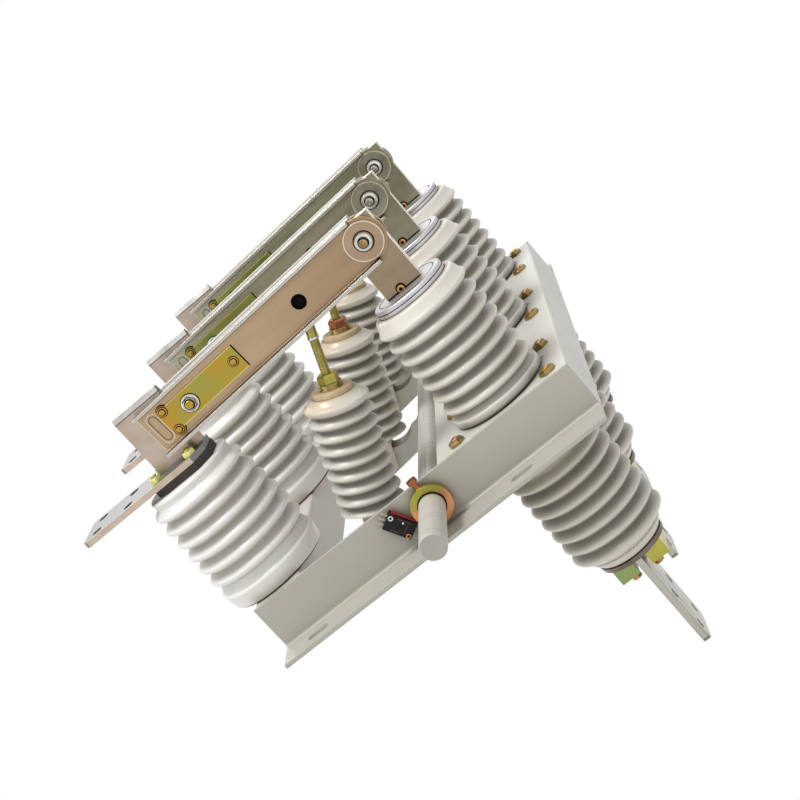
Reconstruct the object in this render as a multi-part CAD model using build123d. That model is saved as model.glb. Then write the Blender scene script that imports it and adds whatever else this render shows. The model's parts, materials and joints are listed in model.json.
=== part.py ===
from build123d import *
import math
import os

# Three-pole indoor disconnect switch with through-wall bushings.
# Millimetres.  +Z points from the mounting plane up to the blades, X runs along
# the two mounting rails from the jaw end to the hinge end, Y runs across the poles.
# Drawn about the centre of the frame, then moved so that the origin is on the underside
# of the near mounting flange, midway between its two slots.

# ---- frame ----
FRAME_LENGTH = 369.0
RAIL_HEIGHT = 51.0
SHEET = 4.0
FLANGE_WIDTH = 39.0
RAIL_FACE_Y = 260.0  # outer face of each rail's web
BEND_RADIUS = 3.0
SLOT_X = (-145.0, 94.0)
SLOT_Y = RAIL_FACE_Y + 20.5
SLOT_LENGTH = 24.0
SLOT_WIDTH = 11.0
JAW_BEAM_WIDTH = 54.5
HINGE_BEAM_WIDTH = 150.0

# ---- poles ----
POLE_PITCH = 200.0
POLES = {"a": -POLE_PITCH, "b": 0.0, "c": POLE_PITCH}

# ---- jaw end: post insulator, seat, contact ----
JAW_X = -159.5
JAW_TOP = 181.0
JAW_BASE_RADIUS = 56.0
JAW_SHED_TIPS = (55.7, 55.5, 55.0, 54.0, 53.5, 52.5)
JAW_SHED_FIRST = RAIL_HEIGHT + 34.5
JAW_SHED_PITCH = 16.0
SHED_DEPTH = 6.0
SEAT_X = -158.0
SEAT_HEIGHT = 8.0
SEAT_LENGTH = 67.0
CONTACT_WIDTH = 57.0
CORNER_CUT = 14.0
TERMINAL_THICK = 6.0
TERMINAL_END_X = -273.5
UPRIGHT_X = (-179.0, -125.5)
UPRIGHT_TOP = 263.0
CONTACT_THICK = 10.0
LEAD_IN = (5.0, 2.5)  # bevel on the knife contact's top edges: height, depth
TERMINAL_HOLE_PITCH = (40.0, 35.0)
TERMINAL_HOLE_X = -238.5
TERMINAL_HOLE_RADIUS = 5.5

# ---- hinge end: through bushing, hinge post, lower busbar ----
BUSHING_X = 113.0
BUSHING_TOP = 177.0
BUSHING_RADIUS = 50.0
BUSHING_WAIST = 44.0  # where it passes through the crossbeam
UPPER_SHED_FIRST = RAIL_HEIGHT + 20.8
UPPER_SHED_PITCH = 15.2
LOWER_BUSHING_RADIUS = 52.0
LOWER_SHED_FIRST = -29.0
LOWER_SHED_PITCH = 15.5
BUSHING_SHED_COUNT = 7
BUSHING_BOTTOM = -141.5
FLANGE_BOLTS = (52.0, 42.0)
SIGHT_HOLE_RADIUS = 2.5
HINGE_X = 112.0
HINGE_Z = 242.5
POST_X = (92.0, 130.0)
POST_TOP = HINGE_Z + 18.0
CAP_RADIUS = 37.8
CAP_HEIGHT = 8.0
LOWER_CAP_RADIUS = 36.0
LOWER_CAP_HEIGHT = 5.5
BUSBAR_FACE_X = BUSHING_X + 4.0
BUSBAR_THICK = 7.0
BUSBAR_WIDTH = 60.0
BUSBAR_END = -260.0
CLAMP_X = (10.0, 25.0)  # from the bushing's axis
CLAMP_WIDTH = 34.0
CLAMP_HEIGHT = 16.0

# ---- knife blades, along their own axis from the hinge pin ----
BLADE_WIDTH = 48.0
BLADE_SHEET = 3.2
BLADE_DEPTH = 14.7  # inner face of the web to the flanges' free edges
BLADE_BEND = 4.2
BLADE_REACH = 270.5
BLADE_DIP = 2.8  # degrees below level at rest
BLADE_GAP = 10.6  # between the two plates of a pole
FLANGE_RUN_OUT = -4.0
PULL_DISTANCE = 81.5  # hinge pin to pull pin, along the blade
PULL_OFFSET = -1.0  # and across it
PULL_HOLE_RADIUS = 7.3
PIVOT_RADIUS = 6.0
CUP_RADIUS = 18.7
PRESSING_X = -259.0
PRESSING = (31.0, 10.5)
PRESSING_DEPTH = 1.2
LOCK_PLATE_X = -204.0
LOCK_PLATE = (97.0, 30.0)
LOCK_PLATE_THICK = 2.5
SPRING_BOLT_X = -219.0
SPRING_BOLT_RADIUS = 4.0

# ---- drive ----
SHAFT_X = 11.0
SHAFT_Z = 28.0
SHAFT_RADIUS = 12.5
SHAFT_NEAR_END = -367.0
SHAFT_FAR_END = 276.0
STUB_START = -274.0  # the bare end that takes the drive lever
BEARING_RADIUS = 20.0
COLLAR_Y = (RAIL_FACE_Y + 3.0, RAIL_FACE_Y + 11.0)
COLLAR_RADIUS = 20.0
CRANK_RADIUS = 70.5
CRANK_ANGLE = 189.6  # degrees, from +X towards +Z, at rest
CRANK_END_RADIUS = 13.7
CRANK_WIDTH = 24.0
CRANK_SHEET = 4.0
CRANK_PIN_RADIUS = 5.0
PIN_CLEARANCE = 0.3

# ---- pull rods, along their own axis from the crank pin ----
FORK_GAP = CRANK_WIDTH + 1.0
FORK_SHEET = 3.5
FORK_WIDTH = 24.0
PULL_BASE = 25.0
PULL_SHED_RADIUS = 32.0
PULL_SHED_COUNT = 9
PULL_SHED_FIRST = 30.4
PULL_SHED_PITCH = 13.2
PULL_NECK_RADIUS = 22.5
PULL_TOP = 151.0
ROD_RADIUS = 4.3
SLEEVE_RADIUS = 5.0
SLEEVE_START = 200.0
ROD_PIN_RADIUS = 4.0

crank_pin_x = SHAFT_X + CRANK_RADIUS * math.cos(math.radians(CRANK_ANGLE))
crank_pin_z = SHAFT_Z + CRANK_RADIUS * math.sin(math.radians(CRANK_ANGLE))
dip = math.radians(BLADE_DIP)
pull_x = HINGE_X - PULL_DISTANCE * math.cos(dip) - PULL_OFFSET * math.sin(dip)
pull_z = HINGE_Z - PULL_DISTANCE * math.sin(dip) + PULL_OFFSET * math.cos(dip)
PULL_LENGTH = math.hypot(pull_x - crank_pin_x, pull_z - crank_pin_z)
PULL_LEAN = math.degrees(math.atan2(pull_x - crank_pin_x, pull_z - crank_pin_z))
FRAME_END = FRAME_LENGTH / 2
BLADE_FACE = BLADE_GAP / 2 + BLADE_SHEET  # outer face of a blade's web
datum = Pos(-sum(SLOT_X) / 2, SLOT_Y, 0)


def save(shape, name):
    export_step(datum * shape, f"parts/{name}.step")


def each_pole(shape):
    """The same piece on every pole, as separate solids of one node."""
    return Compound([Pos(0, y, 0) * shape for y in POLES.values()])


def box(x0, x1, y0, y1, z0, z1):
    """A block between two opposite corners."""
    block = Box(x1 - x0, y1 - y0, z1 - z0)
    return Pos((x0 + x1) / 2, (y0 + y1) / 2, (z0 + z1) / 2) * block


def rod_y(radius, y0, y1, x=0.0, z=0.0):
    """A round bar along Y."""
    bar = Rot(90, 0, 0) * Cylinder(radius, y1 - y0)
    return Pos(x, (y0 + y1) / 2, z) * bar


def plate_xz(sketch, y0, y1):
    """A flat plate: a sketch drawn in X and Z, thickened from y0 to y1."""
    face = Plane.XZ * sketch
    return Pos(0, y1, 0) * extrude(face, y1 - y0)


def revolved(points):
    """A turned body from (radius, height) points, on the Z axis."""
    outline = make_face(Polyline(*points, close=True))
    return revolve(Plane.XZ * outline, Axis.Z)


def shed_points(first, pitch, tips, core):
    """Ribbed outline going up: tip radii at a steady pitch with the core between them."""
    points = []
    for index, tip in enumerate(tips):
        height = first + index * pitch
        points.append((core, height - pitch / 2))
        points.append((tip, height))
    points.append((core, first + (len(tips) - 0.5) * pitch))
    return points


# ---------------------------------------------------------------- frame

def rail(side):
    """Folded angle: upright web with the mounting flange turned outwards."""
    y_web = side * RAIL_FACE_Y
    y_in = side * (RAIL_FACE_Y - SHEET)
    y_edge = side * (RAIL_FACE_Y + FLANGE_WIDTH)
    outline = Polyline(
        (y_in, 0), (y_edge, 0), (y_edge, SHEET), (y_web, SHEET),
        (y_web, RAIL_HEIGHT), (y_in, RAIL_HEIGHT), close=True,
    )
    section = make_face(outline)
    inner = section.vertices().sort_by_distance((y_web, SHEET))[0]
    section = fillet(inner, BEND_RADIUS)
    outer = section.vertices().sort_by_distance((y_in, 0))[0]
    section = fillet(outer, BEND_RADIUS + SHEET / 2)
    bar = extrude(Plane.YZ * section, FRAME_LENGTH / 2, both=True)
    slots = Sketch() + [Pos(x, side * SLOT_Y) * SlotOverall(SLOT_LENGTH, SLOT_WIDTH) for x in SLOT_X]
    bar -= extrude(slots, SHEET)
    y0, y1 = sorted((y_in - side, y_web + side))
    bar -= rod_y(SHAFT_RADIUS + 1.0, y0, y1, SHAFT_X, SHAFT_Z)
    return bar


def crossbeam(x0, x1):
    """Channel open downwards between the two rails."""
    y_end = RAIL_FACE_Y - SHEET
    middle = (x0 + x1) / 2
    section = Pos(middle, RAIL_HEIGHT / 2) * Rectangle(x1 - x0, RAIL_HEIGHT)
    section = fillet(section.vertices().group_by(Axis.Y)[-1], BEND_RADIUS)
    inner_height = RAIL_HEIGHT - SHEET
    section -= Pos(middle, inner_height / 2) * Rectangle(x1 - x0 - 2 * SHEET, inner_height)
    return plate_xz(section, -y_end, y_end)


def hinge_crossbeam():
    """Wide channel with a round opening and a small sight hole for each bushing."""
    beam = crossbeam(FRAME_END - HINGE_BEAM_WIDTH, FRAME_END)
    for y in POLES.values():
        beam -= Pos(BUSHING_X, y, RAIL_HEIGHT) * Cylinder(BUSHING_WAIST + 1.0, 4 * SHEET)
        beam -= Pos(BUSHING_X + 49.0, y + 10.0, RAIL_HEIGHT) * Cylinder(SIGHT_HOLE_RADIUS, 4 * SHEET)
    return beam


def shaft_bearings():
    """A bearing ring on the inner face of each rail."""
    rings = []
    for side in (-1, 1):
        y0, y1 = sorted((side * (RAIL_FACE_Y - SHEET), side * (RAIL_FACE_Y - SHEET - 10.0)))
        ring = rod_y(BEARING_RADIUS, y0, y1, SHAFT_X, SHAFT_Z)
        ring -= rod_y(SHAFT_RADIUS + PIN_CLEARANCE, y0 - 1, y1 + 1, SHAFT_X, SHAFT_Z)
        rings.append(ring)
    return Compound(rings)


def limit_switch():
    """Small snap-action switch on a backing plate, its lever on the side facing the shaft."""
    length, height, thick = 28.0, 16.0, 10.0
    y_back = -RAIL_FACE_Y
    body = box(-length / 2, length / 2, y_back - 1.5 - thick, y_back - 1.5, -height / 2, height / 2)
    back = box(-length / 2 + 1, length / 2 - 1, y_back - 1.5, y_back, -height / 2 - 2, height / 2 - 1)
    lever = box(-length / 2 + 4, length / 2, y_back - 9.0, y_back - 4.0, height / 2 + 0.6, height / 2 + 1.4)
    foot = box(-length / 2 + 4, -length / 2 + 6, y_back - 9.0, y_back - 4.0, height / 2, height / 2 + 0.6)
    switch = body + back + lever + foot
    return Pos(-24.0, 0, 31.5) * (Rot(0, 61.3, 0) * switch)


# ---------------------------------------------------------------- jaw end

def jaw_insulator():
    """Post insulator: a skirt that flares from its foot, six sheds, a smooth neck."""
    core = JAW_SHED_TIPS[0] - SHED_DEPTH
    neck = 46.0
    foot = RAIL_HEIGHT
    points = [(0, foot), (50.0, foot), (JAW_BASE_RADIUS, foot + 13.0), (JAW_BASE_RADIUS, foot + 18.0)]
    points += shed_points(JAW_SHED_FIRST, JAW_SHED_PITCH, JAW_SHED_TIPS, core)
    points[-1] = (neck, points[-1][1] - 1.0)
    points += [(neck, JAW_TOP), (0, JAW_TOP)]
    return revolved(points)


def octagon(length, width, corner):
    """A rectangle with cut corners."""
    return chamfer(Rectangle(length, width).vertices(), corner)


def jaw_seat():
    """Insulating board between the post insulator and the terminal bar."""
    outline = octagon(SEAT_LENGTH, CONTACT_WIDTH, CORNER_CUT)
    return Pos(SEAT_X, 0, JAW_TOP) * extrude(outline, SEAT_HEIGHT)


def jaw_contact():
    """Terminal bar with a knife contact standing on it, bevelled to lead the blades in."""
    z0 = JAW_TOP + SEAT_HEIGHT
    x_end = UPRIGHT_X[1]
    bar = Pos((TERMINAL_END_X + x_end) / 2, 0) * Rectangle(x_end - TERMINAL_END_X, CONTACT_WIDTH)
    bar = chamfer(bar.vertices().group_by(Axis.X)[0], 4.0)
    bar = chamfer(bar.vertices().group_by(Axis.X)[-1], CORNER_CUT)
    for spot in GridLocations(*TERMINAL_HOLE_PITCH, 2, 2):
        bar -= Pos(TERMINAL_HOLE_X, 0) * spot * Circle(TERMINAL_HOLE_RADIUS)
    base = Pos(0, 0, z0) * extrude(bar, TERMINAL_THICK)
    upright = box(*UPRIGHT_X, -CONTACT_THICK / 2, CONTACT_THICK / 2, z0 + TERMINAL_THICK, UPRIGHT_TOP)
    height, depth = LEAD_IN
    top_edges = upright.edges().filter_by(Axis.X).group_by(Axis.Z)[-1]
    for edge in top_edges:
        side_face = upright.faces().filter_by(Axis.Y).sort_by_distance(edge.center())[0]
        upright = chamfer(upright.edges().sort_by_distance(edge.center())[0], height, depth, reference=side_face)
    return base + upright


# ---------------------------------------------------------------- hinge end

def bushing():
    """One porcelain body through the frame: upper and lower sheds with a smooth waist between."""
    lower_core = LOWER_BUSHING_RADIUS - SHED_DEPTH
    lowest = LOWER_SHED_FIRST - (BUSHING_SHED_COUNT - 1) * LOWER_SHED_PITCH
    lower_tips = [LOWER_BUSHING_RADIUS] * BUSHING_SHED_COUNT
    points = [(0, BUSHING_BOTTOM), (LOWER_CAP_RADIUS, BUSHING_BOTTOM), (41.0, BUSHING_BOTTOM + 5.5)]
    points += shed_points(lowest, LOWER_SHED_PITCH, lower_tips, lower_core)
    points += [(BUSHING_WAIST, LOWER_SHED_FIRST + LOWER_SHED_PITCH), (BUSHING_WAIST, RAIL_HEIGHT)]
    points += [(BUSHING_RADIUS, RAIL_HEIGHT), (BUSHING_RADIUS, RAIL_HEIGHT + 11.0)]
    upper_tips = [BUSHING_RADIUS] * BUSHING_SHED_COUNT
    points += shed_points(UPPER_SHED_FIRST, UPPER_SHED_PITCH, upper_tips, BUSHING_RADIUS - SHED_DEPTH)
    points += [(42.0, BUSHING_TOP), (0, BUSHING_TOP)]
    return revolved(points)


def bushing_flange():
    """Clamping plate under the crossbeam, bolted through it at four corners."""
    plate = RectangleRounded(2 * FLANGE_BOLTS[0] + 18, 2 * FLANGE_BOLTS[1] + 22, 14)
    return extrude(plate - Circle(BUSHING_WAIST), -8.0)


def hinge_cap():
    """Metal cap on the bushing."""
    cap = extrude(Circle(CAP_RADIUS), CAP_HEIGHT)
    cap = chamfer(cap.edges().group_by(Axis.Z)[-1], 0.8)
    return Pos(BUSHING_X, 0, BUSHING_TOP) * cap


def hinge_post():
    """Upright bar between the two blade plates, with the hinge hole."""
    z0 = BUSHING_TOP + CAP_HEIGHT
    upright = box(*POST_X, -CONTACT_THICK / 2, CONTACT_THICK / 2, z0, POST_TOP)
    upright -= rod_y(PIVOT_RADIUS + PIN_CLEARANCE, -CONTACT_THICK, CONTACT_THICK, HINGE_X, HINGE_Z)
    return upright


def lower_cap():
    """Metal disc that closes the bushing's lower end."""
    return Pos(BUSHING_X, 0, BUSHING_BOTTOM) * extrude(Circle(LOWER_CAP_RADIUS), -LOWER_CAP_HEIGHT)


def lower_terminal():
    """Flat busbar that hangs from the lower cap, with rounded end corners."""
    height = BUSHING_BOTTOM - LOWER_CAP_HEIGHT - BUSBAR_END
    face = Pos(0, BUSBAR_END + height / 2) * Rectangle(BUSBAR_WIDTH, height)
    face = fillet(face.vertices().group_by(Axis.Y)[0], 9.0)
    for spot in GridLocations(*reversed(TERMINAL_HOLE_PITCH), 2, 2):
        face -= Pos(0, BUSBAR_END + 36.0) * spot * Circle(TERMINAL_HOLE_RADIUS)
    return Pos(BUSBAR_FACE_X, 0, 0) * extrude(Plane.YZ * face, -BUSBAR_THICK)


def terminal_clamps():
    """The two square blocks that hold the busbar's stem to the cap."""
    top = BUSHING_BOTTOM - LOWER_CAP_HEIGHT
    blocks = []
    for side in (-1, 1):
        x0, x1 = sorted(BUSHING_X + side * x for x in CLAMP_X)
        blocks.append(box(x0, x1, -CLAMP_WIDTH / 2, CLAMP_WIDTH / 2, top - CLAMP_HEIGHT, top))
    return blocks


# ---------------------------------------------------------------- moving parts

def place_blade(shape, y):
    return Pos(HINGE_X, y, HINGE_Z) * (Rot(0, -BLADE_DIP, 0) * shape)


def blade_plate(side):
    """Channel-section blade: flat web towards the contact, stiffening flanges turned outwards."""
    half = BLADE_WIDTH / 2
    inner = side * BLADE_GAP / 2
    outer = side * BLADE_FACE
    edge = inner + side * BLADE_DEPTH
    lip = half - BLADE_SHEET
    section = make_face(Polyline(
        (inner, -half), (edge, -half), (edge, -lip), (outer, -lip),
        (outer, lip), (edge, lip), (edge, half), (inner, half), close=True,
    ))
    for z in (-half, half):
        bend = section.vertices().sort_by_distance((inner, z))[0]
        section = fillet(bend, BLADE_BEND)
    plate = Pos(-BLADE_REACH, 0, 0) * extrude(Plane.YZ * section, BLADE_REACH + FLANGE_RUN_OUT)
    nose = Circle(half) - Pos(FLANGE_RUN_OUT - half, 0) * Rectangle(2 * half, 2 * half)
    y0, y1 = sorted((inner, outer))
    plate += plate_xz(nose, y0, y1)
    holes = Circle(PIVOT_RADIUS)
    holes += Pos(-PULL_DISTANCE, PULL_OFFSET) * Circle(PULL_HOLE_RADIUS)
    holes += Pos(SPRING_BOLT_X, 0) * Circle(SPRING_BOLT_RADIUS)
    plate -= plate_xz(holes, y0 - 1, y1 + 1)
    pressing = Pos(PRESSING_X, 0) * Rot(0, 0, 90) * SlotOverall(*PRESSING)
    y0, y1 = sorted((outer - side * PRESSING_DEPTH, outer))
    return plate - plate_xz(pressing, y0, y1)


def hinge_bolt():
    """Hinge bolt with a cupped washer and a tapered nut each side."""
    rim = CUP_RADIUS - 1.2
    cup = revolved([
        (0, 0), (CUP_RADIUS, 0), (CUP_RADIUS, 4.0), (rim, 4.0), (rim, 3.3), (9.0, 3.3),
        (7.8, 9.0), (4.8, 9.0), (4.8, 13.0), (0, 13.0),
    ])
    bolt = rod_y(PIVOT_RADIUS, -BLADE_FACE, BLADE_FACE)
    for side in (-1, 1):
        bolt += Pos(0, side * BLADE_FACE, 0) * (Rot(-side * 90, 0, 0) * cup)
    return bolt


def lock_plates():
    """The stiffening plate riveted outside each blade, and the spring bolt through both."""
    outline = Pos(LOCK_PLATE_X, 0) * RectangleRounded(*LOCK_PLATE, 3.0)
    reach = BLADE_FACE + LOCK_PLATE_THICK
    plates = rod_y(SPRING_BOLT_RADIUS, -reach, reach, SPRING_BOLT_X)
    for side in (-1, 1):
        y0, y1 = sorted((side * BLADE_FACE, side * reach))
        plates += plate_xz(outline, y0, y1)
    return plates


def crank():
    """Folded channel, open below, welded under the shaft, with the pull rod's pin across its end."""
    pin_x = crank_pin_x - SHAFT_X
    pin_z = crank_pin_z - SHAFT_Z
    hollow = ThreePointArc((-52.5, -1.5), (-41.0, -4.8), (-25.4, 0.3))
    saddle = Polyline((-25.4, 0.3), (-17.0, 1.0), (-10.0, 6.0), (0.0, 0.0), (10.0, -10.0), (5.0, -17.8))
    belly = Line((5.0, -17.8), (pin_x + 1.4, pin_z - CRANK_END_RADIUS))
    nose = Polyline((pin_x + 1.4, pin_z - CRANK_END_RADIUS), (pin_x, pin_z), (pin_x + 4.0, pin_z + 13.1))
    brow = Line((pin_x + 4.0, pin_z + 13.1), (-52.5, -1.5))
    side = make_face([hollow, *saddle.edges(), belly, *nose.edges(), brow])
    side += Pos(pin_x, pin_z) * Circle(CRANK_END_RADIUS)
    half = CRANK_WIDTH / 2
    channel = plate_xz(side, -half, half)
    channel -= plate_xz(Pos(0, -CRANK_SHEET) * side, CRANK_SHEET - half, half - CRANK_SHEET)
    channel -= rod_y(SHAFT_RADIUS, -half - 1, half + 1)
    pin_reach = FORK_GAP / 2 + FORK_SHEET + 3.0
    channel += rod_y(CRANK_PIN_RADIUS, -pin_reach, pin_reach, pin_x, pin_z)
    return Pos(SHAFT_X, 0, SHAFT_Z) * channel


def drive_shaft():
    """One bar through both rails; a groove and a chamfer bound its bare drive end."""
    step = SHAFT_RADIUS - 1.0
    bar = revolved([
        (0, SHAFT_NEAR_END), (step, SHAFT_NEAR_END), (SHAFT_RADIUS, SHAFT_NEAR_END + 1.0),
        (SHAFT_RADIUS, STUB_START), (step, STUB_START), (step, STUB_START + 2.0),
        (SHAFT_RADIUS, STUB_START + 2.0), (SHAFT_RADIUS, SHAFT_FAR_END), (0, SHAFT_FAR_END),
    ])
    return Pos(SHAFT_X, 0, SHAFT_Z) * (Rot(-90, 0, 0) * bar)


def shaft_collars():
    """Retaining collars outside the rails; the near one carries the radial stop screw."""
    collars = []
    for side in (-1, 1):
        y0, y1 = sorted(side * y for y in COLLAR_Y)
        ring = rod_y(COLLAR_RADIUS, y0, y1, SHAFT_X, SHAFT_Z)
        if side < 0:
            ring += Pos(SHAFT_X, (y0 + y1) / 2, SHAFT_Z + 22.0) * Cylinder(3.0, 14.0)
            ring += Pos(SHAFT_X, (y0 + y1) / 2, SHAFT_Z + 28.5) * Cylinder(5.0, 4.0)
        ring -= rod_y(SHAFT_RADIUS, y0 - 1, y1 + 1, SHAFT_X, SHAFT_Z)
        collars.append(ring)
    return Compound(collars)


def place_pull(shape, y):
    return Pos(crank_pin_x, y, crank_pin_z) * (Rot(0, PULL_LEAN, 0) * shape)


def pull_insulator():
    """Slim ribbed insulator with a broad top shoulder and a cemented neck."""
    core = PULL_SHED_RADIUS - SHED_DEPTH
    tips = [PULL_SHED_RADIUS] * (PULL_SHED_COUNT - 1)
    points = [(0, PULL_BASE), (20.0, PULL_BASE)]
    points += shed_points(PULL_SHED_FIRST, PULL_SHED_PITCH, tips, core)[1:]
    shoulder = PULL_SHED_FIRST + (PULL_SHED_COUNT - 1) * PULL_SHED_PITCH
    points += [(PULL_SHED_RADIUS, shoulder - 1.5), (PULL_SHED_RADIUS, shoulder + 3.5)]
    points += [(PULL_NECK_RADIUS, shoulder + 9.5), (PULL_NECK_RADIUS, PULL_TOP), (0, PULL_TOP)]
    return revolved(points)


def pull_eye():
    """Fork screwed under the insulator, its arms outside the crank, on the crank pin."""
    half = FORK_WIDTH / 2
    inside = FORK_GAP / 2
    outside = inside + FORK_SHEET
    arm = Pos(0, PULL_BASE / 2) * Rectangle(FORK_WIDTH, PULL_BASE) + Circle(half)
    arm -= Circle(CRANK_PIN_RADIUS + PIN_CLEARANCE)
    fork = box(-half, half, -outside, outside, PULL_BASE - 6.0, PULL_BASE)
    fork += plate_xz(arm, inside, outside)
    fork += plate_xz(arm, -outside, -inside)
    return fork


def pull_rod():
    """Threaded rod with a thicker sleeve that ends in the blade pin."""
    rod = Pos(0, 0, PULL_TOP) * extrude(Circle(ROD_RADIUS), SLEEVE_START - PULL_TOP)
    rod += Pos(0, 0, SLEEVE_START) * extrude(Circle(SLEEVE_RADIUS), PULL_LENGTH - SLEEVE_START - 4.0)
    rod += rod_y(8.0, -4.5, 4.5, 0, PULL_LENGTH)
    rod += rod_y(ROD_PIN_RADIUS, -6.8, 6.8, 0, PULL_LENGTH)
    return rod


os.makedirs("parts", exist_ok=True)

save(rail(-1), "near_rail")
save(rail(1), "far_rail")
save(crossbeam(-FRAME_END, -FRAME_END + JAW_BEAM_WIDTH), "jaw_crossbeam")
save(hinge_crossbeam(), "hinge_crossbeam")
save(shaft_bearings(), "shaft_bearings")
save(limit_switch(), "limit_switch")
save(drive_shaft(), "drive_shaft")
save(shaft_collars(), "shaft_collars")
save(each_pole(crank()), "cranks")
save(each_pole(Pos(JAW_X, 0, 0) * jaw_insulator()), "jaw_insulators")
save(each_pole(jaw_seat()), "jaw_seats")
save(each_pole(jaw_contact()), "jaw_contacts")
save(each_pole(Pos(BUSHING_X, 0, RAIL_HEIGHT - SHEET) * bushing_flange()), "bushing_flanges")
save(each_pole(Pos(BUSHING_X, 0, 0) * bushing()), "bushings")
save(each_pole(hinge_cap()), "hinge_caps")
save(each_pole(hinge_post()), "hinge_posts")
save(each_pole(lower_cap()), "lower_caps")
save(each_pole(lower_terminal()), "lower_terminals")
save(Compound([Pos(0, y, 0) * block for y in POLES.values() for block in terminal_clamps()]), "terminal_clamps")

for pole, y in POLES.items():
    save(place_blade(blade_plate(-1), y), f"near_blade_{pole}")
    save(place_blade(blade_plate(1), y), f"far_blade_{pole}")
    save(place_blade(hinge_bolt(), y), f"blade_fittings_{pole}")
    save(place_blade(lock_plates(), y), f"lock_plates_{pole}")
    save(place_pull(pull_insulator(), y), f"pull_insulator_{pole}")
    save(place_pull(pull_eye(), y), f"pull_eye_{pole}")
    save(place_pull(pull_rod(), y), f"pull_rod_{pole}")
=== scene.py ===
"""A three-pole indoor disconnect switch: looks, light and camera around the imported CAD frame."""
import json
import math

import bpy
from mathutils import Matrix, Vector


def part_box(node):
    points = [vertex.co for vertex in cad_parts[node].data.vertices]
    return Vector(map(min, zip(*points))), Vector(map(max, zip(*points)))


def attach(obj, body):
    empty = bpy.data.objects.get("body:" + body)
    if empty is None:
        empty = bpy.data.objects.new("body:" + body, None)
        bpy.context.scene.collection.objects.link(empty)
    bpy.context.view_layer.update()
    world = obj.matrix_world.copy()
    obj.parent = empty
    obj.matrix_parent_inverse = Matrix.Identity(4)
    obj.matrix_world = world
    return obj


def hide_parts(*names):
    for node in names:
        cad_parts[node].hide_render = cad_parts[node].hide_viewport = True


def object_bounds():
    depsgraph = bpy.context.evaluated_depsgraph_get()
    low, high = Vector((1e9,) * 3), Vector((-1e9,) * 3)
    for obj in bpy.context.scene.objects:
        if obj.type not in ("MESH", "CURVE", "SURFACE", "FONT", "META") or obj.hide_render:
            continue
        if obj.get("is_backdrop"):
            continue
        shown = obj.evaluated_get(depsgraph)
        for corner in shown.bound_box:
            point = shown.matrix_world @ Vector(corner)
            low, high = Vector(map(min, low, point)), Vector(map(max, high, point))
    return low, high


MM = 0.001
ROUND = 96  # steps round a large turned piece
SMALL = 32  # steps round a small one

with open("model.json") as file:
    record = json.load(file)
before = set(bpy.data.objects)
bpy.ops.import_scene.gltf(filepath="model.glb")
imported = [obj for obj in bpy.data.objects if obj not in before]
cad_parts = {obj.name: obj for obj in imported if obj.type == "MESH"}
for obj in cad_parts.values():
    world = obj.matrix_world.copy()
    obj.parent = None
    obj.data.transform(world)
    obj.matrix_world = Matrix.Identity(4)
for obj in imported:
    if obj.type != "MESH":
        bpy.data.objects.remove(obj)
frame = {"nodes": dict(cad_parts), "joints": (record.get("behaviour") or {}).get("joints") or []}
cad_low, cad_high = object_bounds()
scene = bpy.context.scene
joints = {joint["name"]: Vector(joint["pos_m"]) for joint in frame["joints"]}
POLES = "abc"

# Places come from the frame.  Millimetre places are from the middle of the two rails.
near_low, near_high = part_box("near_rail")
far_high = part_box("far_rail")[1]
MIDDLE = Vector(((near_low.x + near_high.x) / 2, (near_low.y + far_high.y) / 2, 0))
RAIL_TOP = near_high.z / MM
POLE_Y = {pole: joints[f"blade_{pole}_hinge"].y for pole in POLES}
PITCH = POLE_Y["b"] - POLE_Y["a"]
NEAR_POLE = (POLE_Y["a"] - MIDDLE.y) / MM
HINGE = joints["blade_a_hinge"]
CRANK = joints["pull_a_pivot"]
SHAFT = joints["shaft_turn"]
SHAFT_X = (SHAFT.x - MIDDLE.x) / MM
SHAFT_Z = SHAFT.z / MM
HINGE_X = (HINGE.x - MIDDLE.x) / MM

DIP = math.radians(-2.8)  # the blades' slope at rest
BLADE_FACE = 8.5  # outer face of a blade's web, from its pole
FLANGE_FACE = 20.0  # free edge of a blade's flanges, from its pole
NOSE_RADIUS = 21.7  # a blade's round nose, and half the height up to which its web has its own colour
EYE_ON_BLADE = Vector((-81.5, 0, -1.0)) * MM  # the pull rod's pin, from the hinge along and up a blade


# ---------------------------------------------------------------- colour and materials

def srgb(red, green, blue):
    """Linear colour from 0-255 display values."""
    values = [value / 255 for value in (red, green, blue)]
    return [v / 12.92 if v <= 0.04045 else ((v + 0.055) / 1.055) ** 2.4 for v in values] + [1.0]


def shaded(color, share):
    return [channel * share for channel in color[:3]] + [1.0]


CLEAR = (1, 1, 1, 1)  # leaves the colour that it multiplies as it is
NOISE_LOW, NOISE_HIGH = 0.3, 0.7  # most of a noise lies between these
EDGE_SAMPLES = 6
MIX_COLOR_SOCKETS = (0, 6, 7)  # factor and the two colours of a colour mix


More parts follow.
